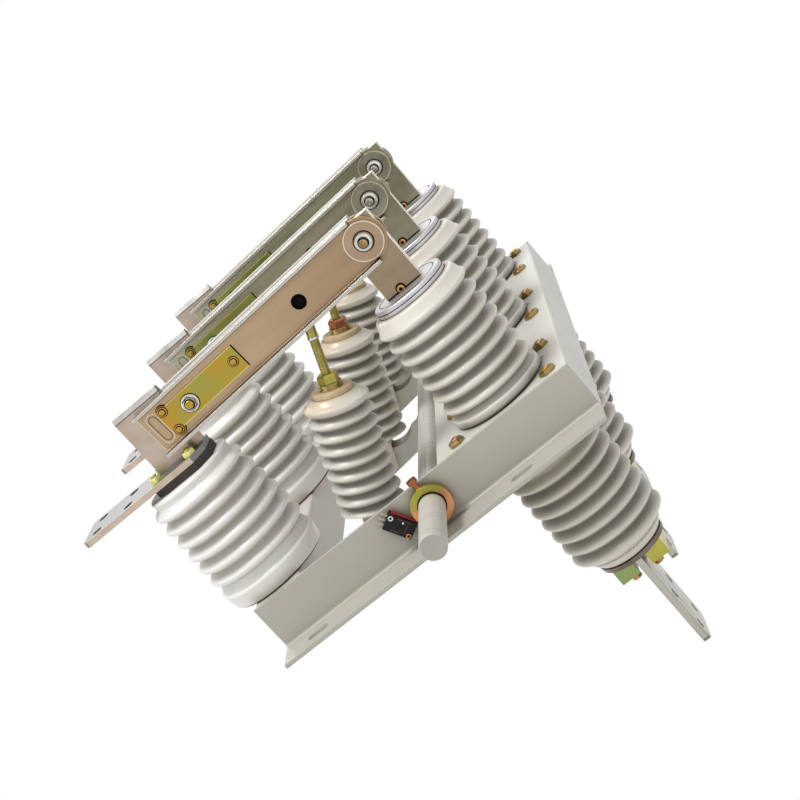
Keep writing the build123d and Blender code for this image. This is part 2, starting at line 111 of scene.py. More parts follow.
class Surface:
    """One procedural material: a Principled shader with helpers for noise, ramps, masks and relief."""

    def __init__(self, name, color, roughness=0.5, metallic=0.0, **sockets):
        self.material = bpy.data.materials.new(name)
        self.material.use_nodes = True
        self.tree = self.material.node_tree
        self.shader = self.tree.nodes["Principled BSDF"]
        self.shader.inputs["Base Color"].default_value = color
        self.shader.inputs["Roughness"].default_value = roughness
        self.shader.inputs["Metallic"].default_value = metallic
        for socket, value in sockets.items():
            self.shader.inputs[socket.replace("_", " ")].default_value = value
        self.coordinates = self.tree.nodes.new("ShaderNodeTexCoord").outputs["Object"]

    def feed(self, socket, value):
        """Gives a socket a link from another node's output, or a plain value."""
        if hasattr(value, "is_linked"):
            self.tree.links.new(value, socket)
        else:
            socket.default_value = value

    def node(self, kind, **inputs):
        node = self.tree.nodes.new(kind)
        for socket, value in inputs.items():
            self.feed(node.inputs[socket.replace("_", " ")], value)
        return node

    def math(self, operation, first, second=0.0):
        node = self.tree.nodes.new("ShaderNodeMath")
        node.operation = operation
        for socket, value in zip(node.inputs, (first, second)):
            self.feed(socket, value)
        return node.outputs[0]

    def noise(self, scale, detail=4.0, stretch=(1, 1, 1), roughness=0.55):
        mapped = self.node("ShaderNodeMapping", Vector=self.coordinates, Scale=stretch)
        noise = self.node("ShaderNodeTexNoise", Vector=mapped.outputs["Vector"], Scale=scale,
                          Detail=detail, Roughness=roughness)
        return noise.outputs["Fac"]

    def place(self, axis):
        """The position along one axis, in metres."""
        return self.node("ShaderNodeSeparateXYZ", Vector=self.coordinates).outputs[axis]

    def off_pole(self):
        """The distance from the nearest pole's plane along Y, in metres, negative on its near side."""
        along = self.math("SUBTRACT", self.place("Y"), POLE_Y["a"] - PITCH / 2)
        return self.math("SUBTRACT", self.math("MODULO", along, PITCH), PITCH / 2)

    def between(self, value, low, high):
        """0 below low, 1 above high, and a straight slope between."""
        return self.node("ShaderNodeMapRange", Value=value, From_Min=low, From_Max=high).outputs["Result"]

    def spread(self, factor, low, high):
        """The middle of a noise's range spread between two values."""
        ranged = self.node("ShaderNodeMapRange", Value=factor, From_Min=NOISE_LOW, From_Max=NOISE_HIGH,
                           To_Min=low, To_Max=high)
        return ranged.outputs["Result"]

    def ramp(self, factor, *stops):
        """A colour ramp from (position, colour) stops."""
        ramp = self.node("ShaderNodeValToRGB", Fac=factor)
        elements = ramp.color_ramp.elements
        while len(elements) < len(stops):
            elements.new(0.5)
        for element, (position, color) in zip(elements, stops):
            element.position = position
            element.color = color
        return ramp.outputs["Color"]

    def wander(self, factor, colors):
        """Colours spread evenly over the middle of a noise."""
        start, reach = 0.32, 0.36
        last = len(colors) - 1
        return self.ramp(factor, *[(start + reach * i / last, color) for i, color in enumerate(colors)])

    def mix(self, factor, first, second, blend="MIX"):
        node = self.tree.nodes.new("ShaderNodeMix")
        node.data_type = "RGBA"
        node.blend_type = blend
        for index, value in zip(MIX_COLOR_SOCKETS, (factor, first, second)):
            self.feed(node.inputs[index], value)
        return node.outputs[2]

    def times(self, first, second):
        return self.mix(1.0, first, second, "MULTIPLY")

    def dirt_and_shade(self, reach, dark, flank=None):
        """Dirt and painted shade: darker where surfaces close in on each other, `dark` in a groove, `flank`
        on its sides.
        """
        shade = self.node("ShaderNodeAmbientOcclusion", Distance=reach * MM)
        shade.samples = EDGE_SAMPLES
        stops = [(0.3, dark), (0.9, CLEAR)]
        if flank:
            stops.insert(1, (0.72, flank))
        return self.ramp(shade.outputs["AO"], *stops)

    def put(self, socket, value):
        self.tree.links.new(value, self.shader.inputs[socket])
        return self

    def finish(self, bump=None, strength=0.1, distance=0.2, edge=0.0):
        """Surface relief, and edges rounded for the light by `edge` millimetres."""
        normal = None
        if edge:
            bevel = self.node("ShaderNodeBevel", Radius=edge * MM)
            bevel.samples = EDGE_SAMPLES
            normal = bevel.outputs["Normal"]
        if bump is not None:
            relief = self.node("ShaderNodeBump", Height=bump, Strength=strength, Distance=distance * MM)
            if normal is not None:
                self.tree.links.new(normal, relief.inputs["Normal"])
            normal = relief.outputs["Normal"]
        if normal is not None:
            self.put("Normal", normal)
        return self.material


# The enamel's corner colour: dirt and painted shade.
CORNER_DUST_AND_SHADE = (0.62, 0.60, 0.54, 1)
RING_GREY = (0.8, 0.79, 0.77, 1)


def painted(name, color, streaks=(1, 1, 1), shaded_end=None):
    """Stoved enamel: slight orange peel, faint dirt, and darker in its corners from dirt and painted shade.

    With `shaded_end` it has fine rings round Y, and painted shade darkens it where Y is below that place.
    """
    surface = Surface(name, color, roughness=0.42, Coat_Weight=0.08, Coat_Roughness=0.3)
    cloud = surface.noise(9.0, detail=5.0, stretch=streaks)
    tint = surface.ramp(cloud, (0.35, shaded(color, 0.94)), (0.65, color))
    if shaded_end:
        # Painted shade on the shaft's end face.
        beyond = surface.between(surface.place("Y"), shaded_end, shaded_end + 0.2 * MM)
        tint = surface.mix(beyond, shaded(color, 0.75), tint)
        rings = surface.noise(170.0, detail=4.0, stretch=(0.02, 1.0, 0.02))
        tint = surface.times(tint, surface.ramp(rings, (0.3, RING_GREY), (0.44, CLEAR)))
    surface.put("Base Color", surface.times(tint, surface.dirt_and_shade(12, CORNER_DUST_AND_SHADE)))
    surface.put("Roughness", surface.spread(surface.noise(30.0), 0.36, 0.5))
    return surface.finish(surface.noise(900.0, detail=2.0), strength=0.06, distance=0.1, edge=0.9)


CLOUD_GREY = (0.93, 0.92, 0.90, 1)
# Painted shade with dirt on the porcelain, by height: darkest at the rails' foot.
UNDER_FRAME_DIRT_AND_SHADE = ((0.0, (0.95, 0.94, 0.93, 1)), (0.75, (0.74, 0.73, 0.69, 1)), (1.0, CLEAR))
SHADE_LOW, SHADE_HIGH = -140 * MM, 50 * MM  # its ends in Z; the darkest stop, painted shade with dirt, is at the rails' foot


def glazed(name, color, groove_dirt_and_shade=0.2, stained=None):
    """Glazed porcelain: fine specks, a satin gloss, dirt and painted shade in the grooves, darker below the
    rails' top from painted shade and dirt.
    """
    surface = Surface(name, color, roughness=0.34, Coat_Weight=0.25, Coat_Roughness=0.22)
    specks = surface.ramp(surface.noise(1500.0, detail=1.0), (0.25, shaded(color, 0.8)), (0.36, color))
    tint = surface.times(specks, surface.ramp(surface.noise(14.0), (0.35, CLOUD_GREY), (0.65, CLEAR)))
    height = surface.place("Z")
    if stained:
        low, high, stain = stained
        tint = surface.mix(surface.between(height, low, high), tint, stain)
    tint = surface.times(tint, surface.ramp(surface.between(height, SHADE_LOW, SHADE_HIGH), *UNDER_FRAME_DIRT_AND_SHADE))
    # The grooves' colour: dirt and painted shade.
    groove = (groove_dirt_and_shade, 0.95 * groove_dirt_and_shade, 0.84 * groove_dirt_and_shade, 1)
    flank = tuple(0.38 + 0.38 * channel for channel in groove[:3]) + (1,)
    surface.put("Base Color", surface.times(tint, surface.dirt_and_shade(13, groove, flank)))
    surface.put("Roughness", surface.spread(surface.noise(90.0), 0.32, 0.46))
    return surface.finish(surface.noise(260.0, detail=3.0), strength=0.14, distance=0.25)


def plated(name, colors, roughness=(0.22, 0.4), scale=60.0, stretch=(1, 1, 1), grain=0.05, edge=0.35):
    """Plated or bare metal whose tint wanders between the given colours."""
    surface = Surface(name, colors[0], metallic=1.0)
    surface.put("Base Color", surface.wander(surface.noise(scale, detail=6.0, stretch=stretch), colors))
    surface.put("Roughness", surface.spread(surface.noise(scale * 2.3, stretch=stretch), *roughness))
    return surface.finish(surface.noise(scale * 14, detail=3.0, stretch=stretch), strength=grain,
                          distance=0.1, edge=edge)


def matt(name, color, roughness=0.6, grain=0.15, scale=500.0, shine=0.3):
    surface = Surface(name, color, roughness=roughness, Specular_IOR_Level=shine)
    lighter = [min(1.0, channel * 1.25 + 0.004) for channel in color[:3]] + [1.0]
    surface.put("Base Color", surface.ramp(surface.noise(scale / 4), (0.35, color), (0.7, lighter)))
    return surface.finish(surface.noise(scale, detail=3.0), strength=grain, distance=0.2, edge=0.3)


FLANGE_GREYS = [srgb(98, 95, 88), srgb(134, 131, 123), srgb(116, 113, 104)]
# Painted highlight on the flanges' free edges.
FREE_EDGE_HIGHLIGHT = srgb(192, 188, 179)
SHADED_WEB = (0.8, 0.78, 0.75, 1)


def blade_metal(name, pole, web_colors):
    """Tinned copper: the web is tarnished, and darker near the hinge from dirt and painted shade; the
    flanges' free edges have a painted highlight.
    """
    surface = Surface(name, web_colors[0], metallic=1.0)
    along = (0.25, 1.0, 1.6)
    web = surface.wander(surface.noise(25.0, detail=6.0, stretch=along), web_colors)
    dull = surface.wander(surface.noise(30.0, detail=5.0, stretch=(0.15, 1.0, 1.0)), FLANGE_GREYS)
    away = surface.math("ABSOLUTE", surface.math("SUBTRACT", surface.place("Y"), POLE_Y[pole]))
    rise = surface.math("MULTIPLY", surface.math("SUBTRACT", surface.place("Z"), HINGE.z), math.cos(DIP))
    run = surface.math("MULTIPLY", surface.math("SUBTRACT", surface.place("X"), HINGE.x), math.sin(DIP))
    height = surface.math("ABSOLUTE", surface.math("ADD", rise, run))
    outside = surface.between(away, (BLADE_FACE + 0.15) * MM, (BLADE_FACE + 0.4) * MM)
    beyond = surface.between(height, NOSE_RADIUS * MM, (NOSE_RADIUS + 0.3) * MM)
    flange = surface.math("MAXIMUM", outside, beyond)
    # Painted highlight on the flanges' free edges.
    free_edge_highlight = surface.between(away, (FLANGE_FACE - 1.0) * MM, (FLANGE_FACE - 0.7) * MM)
    # Dirt and painted shade darken the web near the hinge.
    near_hinge = surface.between(surface.place("X"), HINGE.x - 130 * MM, HINGE.x - 20 * MM)
    web = surface.mix(near_hinge, web, surface.times(web, SHADED_WEB))
    tint = surface.mix(flange, web, dull)
    surface.put("Base Color", surface.mix(free_edge_highlight, tint, FREE_EDGE_HIGHLIGHT))
    surface.put("Roughness", surface.spread(surface.noise(60.0, stretch=along), 0.28, 0.42))
    return surface.finish(surface.noise(420.0, detail=3.0, stretch=along), strength=0.05,
                          distance=0.1, edge=0.7)


MOTTLE_GREY = (0.84, 0.83, 0.8, 1)


def two_toned(name, axis, low, high, first, second, roughness=(0.22, 0.36), drift=0.8,
              tip=None, seam=None, rim=None):
    """Plating whose colour turns from one tint to another along an axis.

    Past `tip` it has a third tint, with a line of `seam` below it, and on faces `rim` millimetres or
    more off a pole's plane a fourth.
    """
    surface = Surface(name, first, metallic=1.0)
    wave = surface.math("SUBTRACT", surface.noise(70.0), 0.5)
    shift = surface.math("MULTIPLY", wave, (high - low) * drift)
    turn = surface.between(surface.math("ADD", surface.place(axis), shift), low, high)
    tint = surface.mix(turn, first, second)
    if tip:
        start, third = tip
        if seam:
            line = surface.between(surface.place(axis), start - 0.9 * MM, start - 0.7 * MM)
            tint = surface.mix(line, tint, seam)
        tint = surface.mix(surface.between(surface.place(axis), start, start + 0.5 * MM), tint, third)
    if rim:
        reach, fourth = rim
        off = surface.math("ABSOLUTE", surface.off_pole())
        tint = surface.mix(surface.between(off, (reach - 0.2) * MM, reach * MM), tint, fourth)
    shade = surface.ramp(surface.noise(60.0, detail=7.0), (0.32, MOTTLE_GREY), (0.64, CLEAR))
    surface.put("Base Color", surface.times(tint, shade))
    surface.put("Roughness", surface.spread(surface.noise(60.0), *roughness))
    return surface.finish(edge=0.5)


BAR_GREYS = [srgb(136, 133, 124), srgb(176, 174, 167), srgb(158, 155, 147)]
BAR_HALF = 31  # half the width that the painted highlight and shade span
# Painted highlight and shadow line across the bar, lighter away from its near edge.
BAR_HIGHLIGHT_AND_SHADE = ((0.0, (1.15, 1.13, 1.1, 1)), (0.02, (1.15, 1.13, 1.1, 1)), (0.03, (0.35, 0.34, 0.32, 1)),
            (0.07, (1.1, 1.1, 1.1, 1)), (0.6, (1.28, 1.28, 1.28, 1)))


def busbar_metal(name):
    """Tinned bar brushed along its length: a painted highlight on its near edge, a painted shadow line
    beside it, and growing lighter away from that edge.
    """
    surface = Surface(name, srgb(190, 188, 182), metallic=1.0)
    brushed = surface.wander(surface.noise(260.0, detail=4.0, stretch=(1.0, 1.0, 0.03)), BAR_GREYS)
    across = surface.between(surface.off_pole(), -BAR_HALF * MM, BAR_HALF * MM)
    surface.put("Base Color", surface.times(brushed, surface.ramp(across, *BAR_HIGHLIGHT_AND_SHADE)))
    surface.put("Roughness", surface.spread(surface.noise(60.0), 0.3, 0.42))
    return surface.finish(edge=1.2)


PAINT = painted("frame_enamel", srgb(183, 181, 170))
# The crossbeams get a lighter copy of the frame enamel: painted light.
LIT_BEAM_PAINT = painted("lit_beam_enamel", srgb(210, 208, 199))
SHAFT_PAINT = painted("shaft_enamel", srgb(199, 195, 186), streaks=(1, 12, 1),
                      shaded_end=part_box("drive_shaft")[0].y + 0.4 * MM)
JAW_GLAZE = glazed("pale_glaze", srgb(238, 236, 233), groove_dirt_and_shade=0.6)
GLAZE = glazed("grey_glaze", srgb(222, 218, 207))
PULL_GLAZE = glazed("pull_glaze", srgb(221, 217, 206),
                    stained=(CRANK.z + 124 * MM, CRANK.z + 142 * MM, srgb(208, 188, 158)))
WEB_BROWN = [srgb(168, 143, 114), srgb(184, 159, 129), srgb(176, 150, 121)]
WEB_OLIVE = [srgb(152, 150, 126), srgb(178, 177, 154), srgb(164, 161, 137)]
BLADES = {
    "a": blade_metal("blade_metal_a", "a", WEB_BROWN),
    "b": blade_metal("blade_metal_b", "b", WEB_OLIVE),
    "c": blade_metal("blade_metal_c", "c", WEB_OLIVE),
}
BAR_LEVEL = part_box("jaw_contacts")[0].z
CONTACT = two_toned("contact_metal", "Z", BAR_LEVEL + 6.2 * MM, BAR_LEVEL + 7.4 * MM,
                    srgb(130, 129, 131), srgb(190, 175, 161), roughness=(0.32, 0.44), drift=0.1,
                    rim=(28.2, srgb(200, 184, 166)),
                    tip=(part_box("jaw_contacts")[1].z - 5.2 * MM, srgb(182, 180, 178)),
                    seam=srgb(116, 110, 104))
SILVER = busbar_metal("tinned_copper")
# Painted highlight for bright edges.
EDGE_HIGHLIGHT = plated("painted_edge_highlight", [srgb(206, 196, 180), srgb(220, 212, 198)], scale=30.0, grain=0.02)
CAP = plated("cap_metal", [srgb(186, 184, 186), srgb(208, 206, 207)], scale=16.0, roughness=(0.42, 0.54),
             grain=0.015, edge=0.6)
POST = two_toned("post_copper", "Y", POLE_Y["a"] + 0.05, POLE_Y["a"] + 0.06,
                 srgb(158, 140, 116), srgb(160, 157, 136), roughness=(0.28, 0.42), drift=0.0)
CUP = plated("cup_washer", [srgb(160, 136, 112), srgb(176, 152, 127)], scale=30.0, grain=0.02, edge=0.6)
PALE_CUP = plated("pale_cup_washer", [srgb(152, 150, 132), srgb(172, 170, 154)], scale=30.0, grain=0.02,
                  edge=0.6)
YELLOW = plated("yellow_chromate", [srgb(192, 144, 64), srgb(180, 148, 60), srgb(158, 156, 80),
                                    srgb(176, 150, 62), srgb(188, 144, 60)], scale=20.0,
                roughness=(0.24, 0.36), grain=0.03)
# Painted highlight for the lock plates' edges.
LOCK_EDGE_HIGHLIGHT = plated("painted_lock_highlight", [srgb(226, 206, 128), srgb(212, 196, 112)], scale=40.0, grain=0.02)
GREEN = plated("green_chromate", [srgb(136, 152, 78), srgb(162, 166, 98), srgb(148, 156, 84)], scale=20.0,
               roughness=(0.26, 0.38), grain=0.03)
OLIVE = plated("olive_chromate", [srgb(140, 132, 72), srgb(168, 156, 88)], scale=90.0, grain=0.03)
BRONZE = plated("bronze_chromate", [srgb(124, 106, 70), srgb(158, 134, 88), srgb(134, 124, 78)],
                scale=90.0, grain=0.03)
LIME = plated("lime_chromate", [srgb(196, 192, 104), srgb(216, 214, 144), srgb(186, 180, 92)],
              scale=120.0, grain=0.03)
COPPER = plated("copper_chromate", [srgb(162, 112, 74), srgb(182, 140, 86), srgb(154, 122, 68)],
                scale=150.0, grain=0.03)
# Painted shade for the inside of the blades' pressings.
RECESS_SHADE = plated("painted_recess_shade", [srgb(92, 74, 56), srgb(112, 92, 72)], scale=60.0, grain=0.02)
ZINC = plated("bright_zinc", [srgb(190, 189, 184), srgb(218, 217, 213)], scale=80.0, grain=0.03)
RUST = plated("red_chromate", [srgb(150, 88, 60), srgb(190, 130, 92)], scale=150.0, grain=0.03)
COLLAR = two_toned("collar_chromate", "Z", SHAFT.z + 2 * MM, SHAFT.z + 12 * MM,
                   srgb(206, 146, 104), srgb(170, 166, 74), tip=(SHAFT.z + 20.5 * MM, srgb(172, 98, 64)))
CLAMP = two_toned("clamp_chromate", "X", HINGE.x - 4 * MM, HINGE.x + 6 * MM,
                  srgb(144, 162, 104), srgb(184, 176, 84))
PAD = matt("insulating_board", srgb(52, 46, 44), grain=0.1)
# Black rubber for seals, also used for a painted shadow line.
RUBBER_AND_SHADE_LINE = matt("gasket_rubber_and_shade_line", srgb(30, 27, 27), roughness=0.7)
RED_GASKET = matt("red_gasket", srgb(112, 44, 38), roughness=0.6)
CEMENT = matt("cement", srgb(190, 170, 136), roughness=0.75, grain=0.4, scale=700.0)
PEACH = matt("sealing_compound", srgb(180, 164, 152), roughness=0.6, grain=0.4)
IRON = matt("cast_iron", srgb(96, 94, 90), roughness=0.6, grain=0.4)
# A darker cap metal, for the caps under the frame.
DARK_CAP = plated("dark_cap_metal", [srgb(104, 92, 84), srgb(134, 122, 112)], scale=40.0, grain=0.02, edge=0.6)
FORK = matt("fork_enamel", srgb(196, 180, 172), roughness=0.45, grain=0.1)
CASE = matt("switch_case", srgb(24, 22, 23), roughness=0.5, shine=0.2)
SCUFFED = matt("scuffed_case", srgb(84, 78, 76), roughness=0.5)
LEVER = matt("switch_lever", srgb(138, 34, 30), roughness=0.4)
WHITE = matt("white_dot", srgb(235, 235, 230), roughness=0.5)
# Near black for painted shadows and shaded hollows, and for dark lines and joints.
SHADOW_AND_JOINT_DARK = matt("painted_shadow_and_joint_dark", srgb(20, 17, 15), roughness=0.9, shine=0.0)


# ---------------------------------------------------------------- building shapes

class Shape:
    """Loose mesh data in metres that can be moved, added up and turned into an object."""

    def __init__(self, points=(), faces=()):
        self.points = [Vector(point) for point in points]
        self.faces = list(faces)

    def __add__(self, other):
        shift = len(self.points)
        faces = [tuple(index + shift for index in face) for face in other.faces]
        return Shape(self.points + other.points, self.faces + faces)

    def moved(self, matrix):
        return Shape([matrix @ point for point in self.points], self.faces)

    def lifted(self, x=0.0, y=0.0, z=0.0):
        """Moved by millimetres."""
        return self.moved(Matrix.Translation(Vector((x, y, z)) * MM))

    def piece(self, name, material, body="base", slot="zinc_steel", replaces=(), crease=35):
        mesh = bpy.data.meshes.new(name)
        mesh.from_pydata(self.points, [], self.faces)
        mesh.validate()
        mesh.shade_smooth()
        mesh.set_sharp_from_angle(angle=math.radians(crease))
        obj = bpy.data.objects.new(name, mesh)
        scene.collection.objects.link(obj)
        mesh.materials.append(material)
        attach(obj, body)
        if replaces:
            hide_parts(*replaces)
        return obj


def total(shapes):
    result = Shape()
    for shape in shapes:
        result = result + shape
    return result


def turned(profile, steps=ROUND):
    """A closed turned body on the Z axis from (radius, height) points in millimetres."""
    points, rings, faces = [], [], []
    for radius, height in profile:
        if radius < 1e-6:
            points.append((0, 0, height * MM))
            rings.append([len(points) - 1])
            continue
        ring = []
        for step in range(steps):
            angle = 2 * math.pi * step / steps
            points.append((radius * math.cos(angle) * MM, radius * math.sin(angle) * MM, height * MM))
            ring.append(len(points) - 1)
        rings.append(ring)
    for lower, upper in zip(rings, rings[1:]):
        for step in range(steps):
            following = (step + 1) % steps
            if len(lower) == 1:
                faces.append((lower[0], upper[following], upper[step]))
            elif len(upper) == 1:
                faces.append((lower[step], lower[following], upper[0]))
            else:
                faces.append((lower[step], lower[following], upper[following], upper[step]))
    return Shape(points, faces)


def prism(outline, low, high):
    """A flat outline in X and Y, in millimetres, raised from low to high."""
    count = len(outline)
    points = [(x * MM, y * MM, z * MM) for z in (low, high) for x, y in outline]
    sides = [(i, (i + 1) % count, count + (i + 1) % count, count + i) for i in range(count)]
    return Shape(points, sides + [tuple(range(count - 1, -1, -1)), tuple(range(count, 2 * count))])


def block(size, center=(0, 0, 0)):
    x, y, z = (value / 2 for value in size)
    return prism([(-x, -y), (x, -y), (x, y), (-x, y)], -z, z).lifted(*center)


def ring_of(radius, count, turn=0.0):
    step = 2 * math.pi / count
    return [(radius * math.cos(turn + i * step), radius * math.sin(turn + i * step)) for i in range(count)]


def disc(radius, low, high, steps=SMALL, bevel=0.0):
    """A short cylinder, its upper rim rounded off by the bevel."""
    profile = [(0, low), (radius, low), (radius, high - bevel)]
    if bevel:
        profile += [(radius - bevel * 0.3, high - bevel * 0.3), (radius - bevel, high)]
    return turned(profile + [(0, high)], steps)


def collar(inner, outer, low, high, steps=SMALL):
    """A flat ring with a hole."""
    profile = [(inner, low), (outer, low), (outer, high), (inner, high), (inner, low)]
    return turned(profile, steps)


def hexagon(across, low, high, turn=0.0):
    """A hexagonal nut or head with its corners taken off at the top."""
    body = prism(ring_of(across / math.sqrt(3), 6, turn), low, high - 0.12 * across)
    count = len(body.points)
    lid = [Vector((x, y, high)) * MM for x, y in ring_of(across / 2 * 0.95, 6, turn)]
    faces = [face for face in body.faces if face != tuple(range(6, 12))]
    faces += [(6 + i, 6 + (i + 1) % 6, count + (i + 1) % 6, count + i) for i in range(6)]
    faces.append(tuple(range(count, count + 6)))
    return Shape(body.points + lid, faces)


def thread(radius, low, high, pitch=1.5, steps=SMALL):
    """A threaded stretch as close rings, sharp at their crests."""
    root = radius * 0.88
    profile = [(0, low), (root, low)]
    turns = int((high - low) / pitch)
    for i in range(turns):
        base = low + (high - low) * i / turns
        profile += [(radius, base + pitch * 0.5), (root, base + pitch)]
    return turned(profile + [(0, profile[-1][1])], steps)


def at(x, y, z):
    """A place in millimetres from the middle of the frame."""
    return Matrix.Translation(MIDDLE + Vector((x, y, z)) * MM)


def facing(axis):
    """Turns +Z to the given direction."""
    return Vector(axis).to_track_quat("Z", "Y").to_matrix().to_4x4()


def across_poles(shape):
    """A shape drawn for the near pole, repeated on the other two."""
    return total(shape.moved(Matrix.Translation((0, y - POLE_Y["a"], 0))) for y in POLE_Y.values())


def on_base(shape, x, z, y=0.0):
    """A shape put on the near pole, y millimetres off its plane, and repeated on the others."""
    return across_poles(shape.moved(at(x, NEAR_POLE + y, z)))


# ---------------------------------------------------------------- porcelain

SHED_STEPS = 14  # points on one shed's profile
SHED_DEPTH = 7.5


def sheds(first, pitch, tips, depth, nose=0.7):
    """Rounded sheds going up: a wave that comes out to each tip and goes `depth` in between."""
    points = []
    for index, tip in enumerate(tips):
        for step in range(SHED_STEPS):
            phase = step / SHED_STEPS - 0.5
            wave = (0.5 + 0.5 * math.cos(2 * math.pi * phase)) ** nose
            points.append((tip - depth + depth * wave, first + (index + phase) * pitch))
    points.append((tips[-1] - depth, first + (len(tips) - 0.5) * pitch))
    return points


def arc(center, radius, start, end, steps=6):
    """Points round a profile's corner, in degrees."""
    angles = [math.radians(start + (end - start) * i / steps) for i in range(steps + 1)]
    return [(center[0] + radius * math.cos(a), center[1] + radius * math.sin(a)) for a in angles]


jaw_low, jaw_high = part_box("jaw_insulators")
bushing_low, bushing_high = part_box("bushings")
JAW_X = (jaw_low.x + jaw_high.x - 2 * MIDDLE.x) / 2 / MM
BUSHING_X = (bushing_low.x + bushing_high.x - 2 * MIDDLE.x) / 2 / MM
JAW_RADIUS = (jaw_high.x - jaw_low.x) / 2 / MM
JAW_TOP = jaw_high.z / MM
BUSHING_TOP = bushing_high.z / MM
BUSHING_END = bushing_low.z / MM


def jaw_post():
    """A flared skirt, six sheds, each a little smaller, and a smooth neck."""
    wide = JAW_RADIUS
    foot = RAIL_TOP
    top = JAW_TOP - 0.05
    profile = [(0, foot + 1.2), (wide - 4.6, foot + 1.2)] + arc((wide - 4.6, foot + 2.8), 1.6, -90, -10)
    profile += [(wide - 1.0, foot + 13.0)] + arc((wide - 4.2, foot + 16.5), 4, -10, 75)
    tips = [wide - drop for drop in (0.3, 0.5, 1.0, 2.0, 2.5, 3.5)]
    profile += sheds(foot + 34.5, 16.0, tips, SHED_DEPTH)[2:]
    profile += [(wide - 10.5, JAW_TOP - 4.0), (wide - 10, JAW_TOP - 1.2), (wide - 11, top)]
    return turned(profile + [(0, top)])


def through_bushing():
    """Seven sheds below the frame and seven above, with rounded ends."""
    low, high = BUSHING_END, BUSHING_TOP
    below, above = 52.0, 50.0
    end, waist = 34.5, 44.0
    profile = [(0, low), (end, low)] + arc((end, low + 2), 2, -90, -30)[1:]
    profile += arc((37.0, low + 8.5), 4, -50, 20)
    profile += sheds(-122.0, 15.5, [below] * 7, SHED_DEPTH)[2:]
    profile += [(waist, -19.0), (waist, RAIL_TOP + 1), (above - 3, RAIL_TOP + 1)]
    profile += arc((above - 3, RAIL_TOP + 4), 3, -90, 0) + arc((above - 3, RAIL_TOP + 8), 3, 0, 75)
    profile += sheds(RAIL_TOP + 20.8, 15.2, [above] * 7, SHED_DEPTH)[2:-4]
    profile += arc((above - 8.5, high - 4.5), 4, 10, 90)
    return turned(profile + [(0, high - 0.5)])


PULL_FOOT = 25.2  # the porcelain's foot and top, from the rod's lower pin along the rod
PULL_TOP = 146.2


def pull_post():
    """Nine sheds, the last one a broad shoulder."""
    tip, depth, foot = 32.0, 6.5, 18.0
    profile = [(0, PULL_FOOT), (foot, PULL_FOOT)] + arc((foot, PULL_FOOT + 2), 2, -90, 0)[1:]
    profile += sheds(PULL_FOOT + 5.2, 13.2, [tip] * 8, depth)[7:]
    profile += [(tip - 5.0, 131.0), (tip - 1.6, 133.0)] + arc((tip - 3.0, 137.0), 3.0, -40, 85)
    profile += [(27.0, 142.6), (24.2, 144.5), (23.4, PULL_TOP), (0, PULL_TOP)]
    return turned(profile, 72)


on_base(jaw_post(), JAW_X, 0).piece(
    "glazed_jaw_insulators", JAW_GLAZE, slot="porcelain", replaces=["jaw_insulators"], crease=60)
on_base(through_bushing(), BUSHING_X, 0).piece(
    "glazed_bushings", GLAZE, slot="porcelain", replaces=["bushings"], crease=60)

# The near jaw insulator stands on a black gasket, the other two on red ones.
red = disc(52.3, RAIL_TOP, RAIL_TOP + 1.6, ROUND).moved(at(JAW_X, NEAR_POLE, 0))
red_gaskets = total(red.lifted(y=poles * PITCH / MM) for poles in (1, 2))
red_gaskets.piece("red_gaskets", RED_GASKET, slot="insulating_pad")
seals_and_shade_line = disc(50.6, RAIL_TOP, RAIL_TOP + 1.4, ROUND).moved(at(JAW_X, NEAR_POLE, 0))
# The thin ring at each bushing's foot on the rail is a painted shadow line; the rest are gaskets and joint
# lines.
for inner, outer, low, high in ((44.2, 46.0, RAIL_TOP, RAIL_TOP + 0.3),
                                (36.0, 38.6, BUSHING_TOP - 0.8, BUSHING_TOP),
                                (34.0, 36.4, BUSHING_END - 0.8, BUSHING_END + 0.2)):
    seals_and_shade_line += on_base(collar(inner, outer, low, high, ROUND), BUSHING_X, 0)
seals_and_shade_line.piece("black_seals_and_shade_line", RUBBER_AND_SHADE_LINE, slot="insulating_pad")
on_base(collar(38.4, 41.2, BUSHING_TOP - 0.9, BUSHING_TOP - 0.3, ROUND), BUSHING_X, 0).piece(
    "sealing_compound", PEACH, slot="porcelain")


# ---------------------------------------------------------------- bolts on the frame and the terminals

def nuts_and_ends(places, level, across, height, end_radius):
    """Hexagon nuts on every pole and the bolt ends that stand out of them, at (x, y, turn) places."""
    nuts, ends = Shape(), Shape()
    for x, y, turn in places:
        nuts += on_base(hexagon(across, 0, height, turn), x, level, y)
        ends += on_base(disc(end_radius, height, height + 1.6, bevel=0.8), x, level, y)
    return nuts, ends


FLANGE_BOLTS = (52.2, 42.2)  # from the bushing's axis, along X and Y
places = [(BUSHING_X + along * FLANGE_BOLTS[0], side * FLANGE_BOLTS[1], turn + 0.2 * side)
          for along, turn in ((-1, 0.0), (1, 0.5)) for side in (-1, 1)]
nuts, ends = nuts_and_ends(places, RAIL_TOP, 15.0, 4.4, 4.2)
nuts.piece("bushing_flange_nuts", BRONZE, slot="yellow_zinc")
ends.piece("bushing_flange_bolts", COPPER, slot="yellow_zinc")

BAR_TOP = JAW_TOP + 14.0
places = [(x, side * 17.5, 0.25 * side) for x in (-181.0, -140.0) for side in (-1, 1)]
nuts, ends = nuts_and_ends(places, BAR_TOP, 12.0, 5.5, 3.4)
nuts.piece("contact_foot_nuts", LIME, slot="yellow_zinc")
ends.piece("contact_foot_bolts", OLIVE, slot="yellow_zinc")

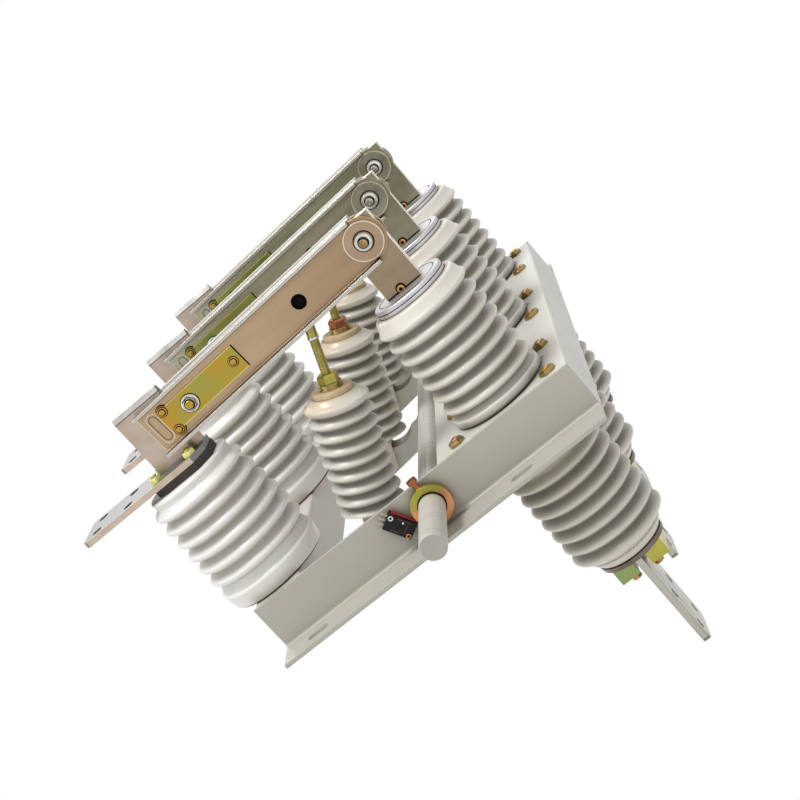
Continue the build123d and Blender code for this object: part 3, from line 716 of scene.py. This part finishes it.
# Screw ends at the foot of each hinge post with painted shadow round them, dark lines on the cap and a dark
# joint under the post.
CAP_TOP = BUSHING_TOP + 8.0
SCREW_X = 108.5
SCREW_Z = CAP_TOP + 2.2
for side, name in ((-1, "near"), (1, "far")):
    screw = disc(3.8, 0, 2.6, bevel=0.8).moved(facing((0, side, 0)))
    on_base(screw, SCREW_X, SCREW_Z, side * 5.2).piece(f"{name}_post_screws", COPPER, slot="yellow_zinc")
    # A ring of painted shadow behind each screw, and a dot of painted shade on its end.
    rim = (disc(4.9, 0, 1.0) + disc(1.7, 2.75, 2.85)).moved(facing((0, side, 0)))
    on_base(rim, SCREW_X, SCREW_Z, side * 5.0).piece(
        f"{name}_post_screw_shadows", SHADOW_AND_JOINT_DARK, slot="insulating_pad")
cap_lines = collar(31.0, 31.9, CAP_TOP, CAP_TOP + 0.12, ROUND)
cap_lines += collar(37.5, 37.95, CAP_TOP - 4.6, CAP_TOP - 3.8, ROUND)
on_base(cap_lines, BUSHING_X, 0).piece("cap_lines", SHADOW_AND_JOINT_DARK, slot="insulating_pad")
joint_line = block((37.0, 12.4, 0.9), (HINGE_X - 1.0, 0, CAP_TOP + 0.45))
on_base(joint_line, 0, 0).piece("post_joint_lines", SHADOW_AND_JOINT_DARK, slot="insulating_pad")

# Clamp blocks beside the busbar, with the ends of their bolts.
CLAMP_LOW, CLAMP_HIGH = (corner.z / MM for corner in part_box("terminal_clamps"))
CLAMP_HEIGHT = CLAMP_HIGH - CLAMP_LOW + 2.0
blocks, ends = Shape(), Shape()
for side in (-1, 1):
    clamp = block((20.0, 42.0, CLAMP_HEIGHT), (side * 17.5, 0, CLAMP_HIGH - CLAMP_HEIGHT / 2))
    blocks += on_base(clamp, BUSHING_X, 0)
    for y in (-13.0, 13.0):
        end = disc(5.0, CLAMP_LOW - 7.0, CLAMP_LOW - 2.0, bevel=1.0)
        ends += on_base(end, BUSHING_X + side * 13.0, 0, y)
blocks.piece("clamp_blocks", CLAMP, slot="yellow_zinc", replaces=["terminal_clamps"])
ends.piece("clamp_bolts", COPPER, slot="yellow_zinc")


# ---------------------------------------------------------------- the blades, their posts and hardware

def hinge_frame(pole):
    """A blade's own axes at rest: X along it and Z up it, from its hinge."""
    return Matrix.Translation(joints[f"blade_{pole}_hinge"]) @ Matrix.Rotation(DIP, 4, "Y")


def on_blade(pole, side, x, z, out=BLADE_FACE):
    """Moves a shape standing on the XY plane to a blade's outer face, `out` off the pole's plane."""
    return hinge_frame(pole) @ Matrix.Translation(Vector((x, side * out, z)) * MM) @ facing((0, side, 0))


def stadium_rim(width, height, thick):
    """A narrow raised line round an upright slot with half-round ends."""
    radius = width / 2
    loops = []
    for reach in (radius, radius + thick):
        upper_half = arc((0, height / 2 - radius), reach, 0, 180, 12)
        loops.append(upper_half + [(-x, -y) for x, y in upper_half])
    inner, outer = loops
    count = len(inner)
    points = [(x * MM, y * MM, z * MM) for z in (0, 0.35) for x, y in inner + outer]
    faces = []
    for i in range(count):
        j = (i + 1) % count
        faces.append((2 * count + i, 2 * count + j, 3 * count + j, 3 * count + i))
        faces.append((count + i, count + j, 3 * count + j, 3 * count + i))
        faces.append((i, j, 2 * count + j, 2 * count + i))
    return Shape(points, faces)


BLADE_INNER = 5.3  # inner face of a blade's web, from its pole
BLADE_HALF = 24.0  # half its height, outside and inside the flanges
BLADE_LIP = 20.8
BLADE_BEND = 4.2  # outer radius of its bends
BLADE_END = -270.5  # its free end and the other end of its flanges, from the hinge
FLANGE_END = 0.6
PULL_HOLE = 7.3  # radius
PULL_HOLE_X = EYE_ON_BLADE.x / MM
PULL_HOLE_Z = EYE_ON_BLADE.z / MM
BEND_PLACE = (BLADE_INNER + BLADE_BEND, BLADE_HALF - BLADE_BEND)
FLAT_HALF = BEND_PLACE[1] - 0.6  # half the height of the web's flat part
SPOKES = 48


def bent_edge():
    """Section of a blade's upper bend and flange, across and up, from the web's outer face to its inner."""
    across, up = BEND_PLACE
    outline = [(BLADE_FACE, FLAT_HALF)] + arc((across, up), across - BLADE_FACE, 180, 90, 4)
    outline += [(FLANGE_FACE, BLADE_LIP), (FLANGE_FACE, BLADE_HALF)]
    return outline + arc((across, up), BLADE_BEND, 90, 180, 8) + [(BLADE_INNER, FLAT_HALF)]


def along_blade(section, side):
    """A section across and up, drawn for the far side, made into a bar the length of the blade."""
    if side < 0:
        section = [(-across, up) for across, up in reversed(section)]
    turn = Matrix(((0, 0, 1, 0), (1, 0, 0, 0), (0, 1, 0, 0), (0, 0, 0, 1)))
    return prism(section, BLADE_END, FLANGE_END).moved(turn)


def upright_plate(outline, side, low=BLADE_INNER, high=BLADE_FACE):
    """An outline along and up the blade, made into a plate between two distances from the pole's plane."""
    if side > 0:
        low, high = -high, -low
    return prism(outline, low, high).moved(Matrix.Rotation(math.pi / 2, 4, "X"))


def holed_web(side):
    """The flat of the web with the pull pin's hole through it, as spokes from the hole to its edges."""
    corners = [math.atan2(z - PULL_HOLE_Z, x - PULL_HOLE_X) % (2 * math.pi)
               for x in (BLADE_END, FLANGE_END) for z in (-FLAT_HALF, FLAT_HALF)]
    angles = sorted(corners + [2 * math.pi * (i + 0.5) / SPOKES for i in range(SPOKES)])
    inner, outer = [], []
    for angle in angles:
        dx, dz = math.cos(angle), math.sin(angle)
        to_x = ((FLANGE_END if dx > 0 else BLADE_END) - PULL_HOLE_X) / dx
        to_z = ((FLAT_HALF if dz > 0 else -FLAT_HALF) - PULL_HOLE_Z) / dz
        reach = min(to_x, to_z)
        inner.append((PULL_HOLE_X + PULL_HOLE * dx, PULL_HOLE_Z + PULL_HOLE * dz))
        outer.append((PULL_HOLE_X + reach * dx, PULL_HOLE_Z + reach * dz))
    count = len(angles)
    points = [(x * MM, side * y * MM, z * MM) for y in (BLADE_INNER, BLADE_FACE) for x, z in inner + outer]
    faces = []
    for i in range(count):
        j = (i + 1) % count
        faces.append((i, j, count + j, count + i)[::side])
        faces.append((2 * count + i, 3 * count + i, 3 * count + j, 2 * count + j)[::side])
        faces.append((i, 2 * count + i, 2 * count + j, j)[::side])
        if max(outer[i][0], outer[j][0]) < BLADE_END + 0.01:
            faces.append((count + i, count + j, 3 * count + j, 3 * count + i)[::side])
    return Shape(points, faces)


def blade_plate(side):
    """Channel blade: flat web with a pin hole, two flanges turned outwards and a narrower round nose."""
    upper = bent_edge()
    lower = [(across, -up) for across, up in reversed(upper)]
    nose = upright_plate(arc((0, 0), NOSE_RADIUS, -88, 88, 40), side)
    return holed_web(side) + along_blade(upper, side) + along_blade(lower, side) + nose


for pole in POLES:
    for side, name in ((-1, "near"), (1, "far")):
        channel = blade_plate(side).moved(hinge_frame(pole))
        channel.piece(f"{name}_channel_{pole}", BLADES[pole], f"blade_{pole}", "blade_copper",
                      [f"{name}_blade_{pole}"])

# Hinge posts, their corners standing out above the blades' noses.
POST_LEFT, POST_RIGHT = 92.0, 131.3
POST_TOP = 262.3
POST_WIDTH = POST_RIGHT - POST_LEFT
POST_HEIGHT = POST_TOP - CAP_TOP
POST_MIDDLE = ((POST_LEFT + POST_RIGHT) / 2, 0, (CAP_TOP + POST_TOP) / 2)
on_base(block((POST_WIDTH, 10.0, POST_HEIGHT), POST_MIDDLE), 0, 0).piece(
    "flat_hinge_posts", POST, slot="terminal_metal", replaces=["hinge_posts"])
# Painted highlights along each post's right and top edges.
edge_highlights = block((0.7, 10.1, POST_HEIGHT), (POST_RIGHT - 0.3, 0, POST_MIDDLE[2]))
edge_highlights += block((POST_WIDTH, 10.1, 0.7), (POST_MIDDLE[0], 0, POST_TOP - 0.3))
on_base(edge_highlights, 0, 0).piece("post_edge_highlights", EDGE_HIGHLIGHT, slot="terminal_metal")

# Places along and up a blade from its hinge: the lock plate, its rivets and spring bolt, and the
# pressing at the blade's end.
LOCK_RIGHT = -155.5
LOCK_HALF = 12.3
LOCK_FACE = BLADE_FACE + 2.5
EARS = [(-245.9, 10.2), (-245.9, -12.2)]
EAR_RADIUS = 6.0
RIVETS = EARS + [(-163.6, 0.0)]
SPRING_BOLT = (-220.4, -1.0)
PRESSING_X = -259.0
PRESSING_WIDTH = 10.5
PRESSING_HEIGHT = 31.0
NUT_BASE = 3.4  # the hinge nut's foot and top, and its bolt end's foot, out from the blade's face
NUT_TOP = 9.6
BOLT_BASE = 13.1


def lock_outline(grow=0.0):
    """A lock plate along and up the blade: a strip with an ear above and below at its far end."""
    half = LOCK_HALF + grow
    radius = EAR_RADIUS + grow
    upper, lower = EARS
    rise = math.degrees(math.asin((half - upper[1]) / radius))
    fall = math.degrees(math.asin((half + lower[1]) / radius))
    outline = [(LOCK_RIGHT + grow, -half), (LOCK_RIGHT + grow, half)]
    return outline + arc(upper, radius, rise, 180, 10) + arc(lower, radius, 180, 360 - fall, 10)


# Painted highlight strips along the lock plates' upper and lower edges.
HIGHLIGHT_LEFT = EARS[0][0] + EAR_RADIUS
HIGHLIGHT_MIDDLE = (LOCK_RIGHT + HIGHLIGHT_LEFT) / 2
HIGHLIGHT_STRIP = block((LOCK_RIGHT - HIGHLIGHT_LEFT, 0.9, 2.3))

for pole in POLES:
    body = f"blade_{pole}"
    washers, rivets, nuts, rings, ends = Shape(), Shape(), Shape(), Shape(), Shape()
    highlight_lines, recess_shades, hinge_ends, lock_highlights = Shape(), Shape(), Shape(), Shape()
    plates = total(upright_plate(lock_outline(), side, BLADE_FACE, LOCK_FACE) for side in (-1, 1))
    plates.moved(hinge_frame(pole)).piece(f"eared_plates_{pole}", YELLOW if pole == "a" else GREEN, body,
                                          "yellow_zinc", [f"lock_plates_{pole}"])
    for side in (-1, 1):
        shadow = upright_plate(lock_outline(0.7), side, BLADE_FACE, BLADE_FACE + 0.3)
        rings += shadow.moved(hinge_frame(pole))
        for z in (-LOCK_HALF - 0.3, LOCK_HALF + 0.3):
            lock_highlights += HIGHLIGHT_STRIP.moved(on_blade(pole, side, HIGHLIGHT_MIDDLE, z, BLADE_FACE + 1.4))
        place = on_blade(pole, side, PRESSING_X, 0)
        # Painted highlight round the pressing's edge.
        highlight_lines += stadium_rim(PRESSING_WIDTH + 1.0, PRESSING_HEIGHT + 1.0, 0.7).moved(place)
        # Painted shade inside the pressing's rim.
        recess_shades += stadium_rim(PRESSING_WIDTH - 3.0, PRESSING_HEIGHT - 4.0, 0.6).moved(place)
        # Painted highlight along the blade's end edge.
        highlight_lines += block((0.8, 41.0, 0.2), (0, 0, 0.1)).moved(on_blade(pole, side, BLADE_END + 0.4, 0))
        for x, z in RIVETS:
            place = on_blade(pole, side, x, z, LOCK_FACE)
            rings += disc(5.3, 0, 0.2).moved(place)
            washers += disc(4.7, 0.2, 1.0, bevel=0.3).moved(place)
            rings += disc(3.6, 1.0, 1.1).moved(place)
            rivets += disc(3.0, 1.1, 2.6, bevel=1.1).moved(place)
        place = on_blade(pole, side, *SPRING_BOLT, LOCK_FACE)
        rings += disc(9.4, 0, 0.2).moved(place)
        nuts += (disc(8.7, 0.2, 1.6, bevel=0.5) + hexagon(13.0, 1.6, 5.0, 0.2)).moved(place)
        rings += disc(5.2, 5.0, 5.2).moved(place)
        ends += thread(4.1, 5.2, 8.4, pitch=1.1).moved(place)
        place = on_blade(pole, side, 0, 0)
        # Painted highlight on the rim of the hinge cup washer.
        highlight_lines += collar(17.6, 18.75, 3.9, 4.15, ROUND).moved(place)
        rings += collar(9.0, 9.9, NUT_BASE - 0.1, NUT_BASE + 0.1, ROUND).moved(place)
        nuts += turned([(0, NUT_BASE), (9.15, NUT_BASE), (7.9, NUT_TOP - 0.4), (6.0, NUT_TOP),
                        (0, NUT_TOP)]).moved(place)
        rings += (disc(5.4, NUT_TOP, NUT_TOP + 0.1) + disc(5.0, BOLT_BASE - 0.1, BOLT_BASE)).moved(place)
        hinge_ends += disc(4.2, BOLT_BASE, BOLT_BASE + 1.9, bevel=0.8).moved(place)
    highlight_lines.piece(f"pressing_rims_{pole}", EDGE_HIGHLIGHT, body)
    lock_highlights.piece(f"lock_plate_lips_{pole}", LOCK_EDGE_HIGHLIGHT, body, "yellow_zinc")
    recess_shades.piece(f"pressing_hollows_{pole}", RECESS_SHADE, body, "blade_copper")
    hinge_ends.piece(f"hinge_bolt_ends_{pole}", BRONZE if pole == "a" else PALE_CUP, body, "yellow_zinc")
    washers.piece(f"rivet_washers_{pole}", COPPER, body, "yellow_zinc")
    rivets.piece(f"rivets_{pole}", YELLOW, body, "yellow_zinc")
    nuts.piece(f"spring_nuts_{pole}", ZINC, body)
    rings.piece(f"nut_shadows_{pole}", SHADOW_AND_JOINT_DARK, body, "insulating_pad")
    ends.piece(f"bolt_ends_{pole}", YELLOW, body, "yellow_zinc")

# ---------------------------------------------------------------- the pull rods

EYE = HINGE + Matrix.Rotation(DIP, 4, "Y") @ EYE_ON_BLADE
PULL_LEAN = math.atan2(EYE.x - CRANK.x, EYE.z - CRANK.z)
PULL_LENGTH = math.hypot(EYE.x - CRANK.x, EYE.z - CRANK.z) / MM
NECK_TOP = 151.0  # heights along the rod from its lower pin
WASHERS = ((12.0, NECK_TOP, 152.8), (10.8, 152.8, 154.6), (11.4, 154.6, 156.5))  # radius, low, high
NUT_FOOT, NUT_HEAD = 156.5, 165.5
SLEEVE_START = 200.0

for pole in POLES:
    place = Matrix.Translation(joints[f"pull_{pole}_pivot"]) @ Matrix.Rotation(PULL_LEAN, 4, "Y")
    body = f"pull_{pole}"
    pull_post().moved(place).piece(
        f"glazed_pull_insulator_{pole}", PULL_GLAZE, body, "porcelain", [f"pull_insulator_{pole}"], 60)
    disc(20.0, PULL_TOP, NECK_TOP, 64, bevel=1.2).moved(place).piece(
        f"cement_neck_{pole}", CEMENT, body, "porcelain")
    stack = total(disc(radius, low, high, bevel=0.4) for radius, low, high in WASHERS)
    stack.moved(place).piece(f"pull_washers_{pole}", BRONZE, body, "yellow_zinc")
    hexagon(17.8, NUT_FOOT, NUT_HEAD, 0.35).moved(place).piece(
        f"pull_nut_{pole}", YELLOW if pole == "a" else RUST, body, "yellow_zinc")
    thread(4.6, NUT_HEAD, SLEEVE_START).moved(place).piece(
        f"pull_thread_{pole}", OLIVE, body, "yellow_zinc")
    collar(4.4, 5.6, SLEEVE_START, SLEEVE_START + 2.2).moved(place).piece(
        f"sleeve_ring_{pole}", ZINC, body)
    shadow = Shape()
    for side in (-1, 1):
        shadow += (disc(8.4, 4.5, 5.0) + disc(4.4, 5.0, 7.0)).moved(facing((0, side, 0)))
    shadow.lifted(z=PULL_LENGTH).moved(place).piece(f"pin_shadow_{pole}", SHADOW_AND_JOINT_DARK, body, "insulating_pad")

# ---------------------------------------------------------------- shaft and limit switch

FORWARD = facing((0, -1, 0))
collar_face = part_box("shaft_collars")[0].y - MIDDLE.y
ring = collar(12.6, 13.6, 0, 0.3, ROUND).moved(FORWARD)
ring.moved(at(SHAFT_X, collar_face / MM, SHAFT_Z)).piece("shaft_shadow", SHADOW_AND_JOINT_DARK, slot="insulating_pad")

# The micro switch lies on the near rail, turned so that its lever faces the shaft.
SWITCH_FACE = -11.5
SWITCH_PLACE = at(-24.0, -260.0, 31.5) @ Matrix.Rotation(math.radians(61.3), 4, "Y")


def on_switch(shape, x, z):
    """A round detail drawn on the XY plane, put on the switch's near face."""
    return shape.moved(FORWARD).lifted(x, SWITCH_FACE, z).moved(SWITCH_PLACE)


centres = Shape()
for x, z, metal in ((-10.8, 4.6, ZINC), (10.6, -5.4, COPPER)):
    screw = on_switch(collar(1.3, 2.4, 0, 0.9, 24), x, z)
    screw.piece(f"{metal.name}_switch_screw", metal, slot="yellow_zinc")
    centres += on_switch(disc(1.4, 0, 0.3, 24), x, z)
centres.piece("switch_screw_centres", SHADOW_AND_JOINT_DARK, slot="switch_case")
ridges = total(block((long, 0.3, tall), (x, SWITCH_FACE - 0.1, z)) for long, tall, x, z in (
    (13.0, 0.5, 1.5, 6.2), (0.5, 8.0, 6.0, -1.0), (9.0, 0.5, -3.5, -5.8)))
ridges.moved(SWITCH_PLACE).piece("switch_ridges", SCUFFED, slot="switch_case")
on_switch(disc(0.9, 0, 0.15, 24), 1.4, 4.2).piece("switch_dot", WHITE, slot="switch_case")
lever = block((24.5, 5.4, 1.1), (1.9, -6.5, 9.2)) + block((2.6, 5.6, 2.4), (-10.2, -6.5, 8.4))
lever.moved(SWITCH_PLACE).piece("switch_lever", LEVER, slot="switch_case")
lugs = total(block((6.5, 3.2, 0.7), (-17.2, -7.0, z)) for z in (-5.0, -0.4, 4.2))
lugs.moved(SWITCH_PLACE).piece("switch_lugs", FORK, slot="switch_case")

# ---------------------------------------------------------------- materials of the CAD pieces that show

NODE_MATERIAL = {
    "near_rail": PAINT, "far_rail": PAINT, "jaw_crossbeam": LIT_BEAM_PAINT, "hinge_crossbeam": LIT_BEAM_PAINT,
    "shaft_bearings": ZINC, "limit_switch": CASE, "jaw_seats": PAD, "jaw_contacts": CONTACT,
    "bushing_flanges": IRON, "hinge_caps": CAP, "lower_caps": DARK_CAP, "lower_terminals": SILVER,
    "drive_shaft": SHAFT_PAINT, "shaft_collars": COLLAR, "cranks": PAINT,
}
for pole in POLES:
    NODE_MATERIAL[f"blade_fittings_{pole}"] = CUP if pole == "a" else PALE_CUP
    NODE_MATERIAL[f"pull_eye_{pole}"] = FORK
    NODE_MATERIAL[f"pull_rod_{pole}"] = OLIVE
for name, material in NODE_MATERIAL.items():
    mesh = frame["nodes"][name].data
    mesh.materials.clear()
    mesh.materials.append(material)

# ---------------------------------------------------------------- stage, light and camera

FLOOR_Z = cad_low.z - 0.35
FLOOR_HALF = 6.0
WORLD_STRENGTH = 0.52
floor_mesh = bpy.data.meshes.new("floor")
corners = [(x * FLOOR_HALF, y * FLOOR_HALF, FLOOR_Z) for x, y in ((-1, -1), (1, -1), (1, 1), (-1, 1))]
floor_mesh.from_pydata(corners, [], [(0, 1, 2, 3)])
floor = bpy.data.objects.new("floor", floor_mesh)
scene.collection.objects.link(floor)
floor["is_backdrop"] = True


def seen_white(tree, plain, output, kind):
    """Camera, mirror and glass rays see white; all other rays see the plain shader."""
    path = tree.nodes.new("ShaderNodeLightPath")
    seen = path.outputs["Is Camera Ray"]
    for ray in ("Is Glossy Ray", "Is Transmission Ray"):
        either = tree.nodes.new("ShaderNodeMath")
        either.operation = "MAXIMUM"
        tree.links.new(seen, either.inputs[0])
        tree.links.new(path.outputs[ray], either.inputs[1])
        seen = either.outputs[0]
    white = tree.nodes.new(kind)
    white.inputs["Color"].default_value = (1, 1, 1, 1)
    white.inputs["Strength"].default_value = 1.0
    mix = tree.nodes.new("ShaderNodeMixShader")
    tree.links.new(seen, mix.inputs["Fac"])
    tree.links.new(plain, mix.inputs[1])
    tree.links.new(white.outputs[0], mix.inputs[2])
    tree.links.new(mix.outputs["Shader"], output.inputs["Surface"])


floor_surface = Surface("pale_floor", srgb(236, 235, 232), roughness=0.8)
seen_white(floor_surface.tree, floor_surface.shader.outputs[0],
           floor_surface.tree.nodes["Material Output"], "ShaderNodeEmission")
floor_mesh.materials.append(floor_surface.material)

world = bpy.data.worlds.new("studio")
world.use_nodes = True
scene.world = world
background = world.node_tree.nodes["Background"]
background.inputs["Color"].default_value = (1, 1, 1, 1)
background.inputs["Strength"].default_value = WORLD_STRENGTH
seen_white(world.node_tree, background.outputs[0], world.node_tree.nodes["World Output"],
           "ShaderNodeBackground")

TARGET = MIDDLE + Vector((-0.0042, 0.0025, 0.0584))
CAMERA_PLACE = MIDDLE + Vector((0.3388, -1.6230, 0.4403))
ROLL = math.radians(-41.597)


def aimed(place):
    """A place from which a lamp or the camera faces the target."""
    return Matrix.Translation(place) @ (TARGET - place).to_track_quat("-Z", "Y").to_matrix().to_4x4()


camera_data = bpy.data.cameras.new("camera")
camera_data.lens = 72.69
camera_data.sensor_width = 36.0
camera = bpy.data.objects.new("camera", camera_data)
scene.collection.objects.link(camera)
camera.matrix_world = aimed(CAMERA_PLACE) @ Matrix.Rotation(ROLL, 4, "Z")
scene.camera = camera


def softbox(name, place, size, power):
    """A square lamp that faces the object."""
    lamp = bpy.data.lights.new(name, "AREA")
    lamp.shape = "SQUARE"
    lamp.size = size
    lamp.energy = power
    obj = bpy.data.objects.new(name, lamp)
    obj.matrix_world = aimed(place)
    scene.collection.objects.link(obj)


LAMPS = (  # name, place from the middle of the rails and size in metres, power in watts
    ("key_light", (-0.35, -0.6, 2.6), 0.8, 44),
    ("left_light", (-2.0, -1.2, 0.8), 1.8, 10),
    ("fill_light", (1.2, -2.2, 0.8), 2.0, 9),
    ("rim_light", (-0.4, 1.7, 1.4), 1.6, 14),
)
for name, offset, size, power in LAMPS:
    softbox(name, MIDDLE + Vector(offset), size, power)

scene.view_settings.view_transform = "Standard"

low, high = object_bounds()
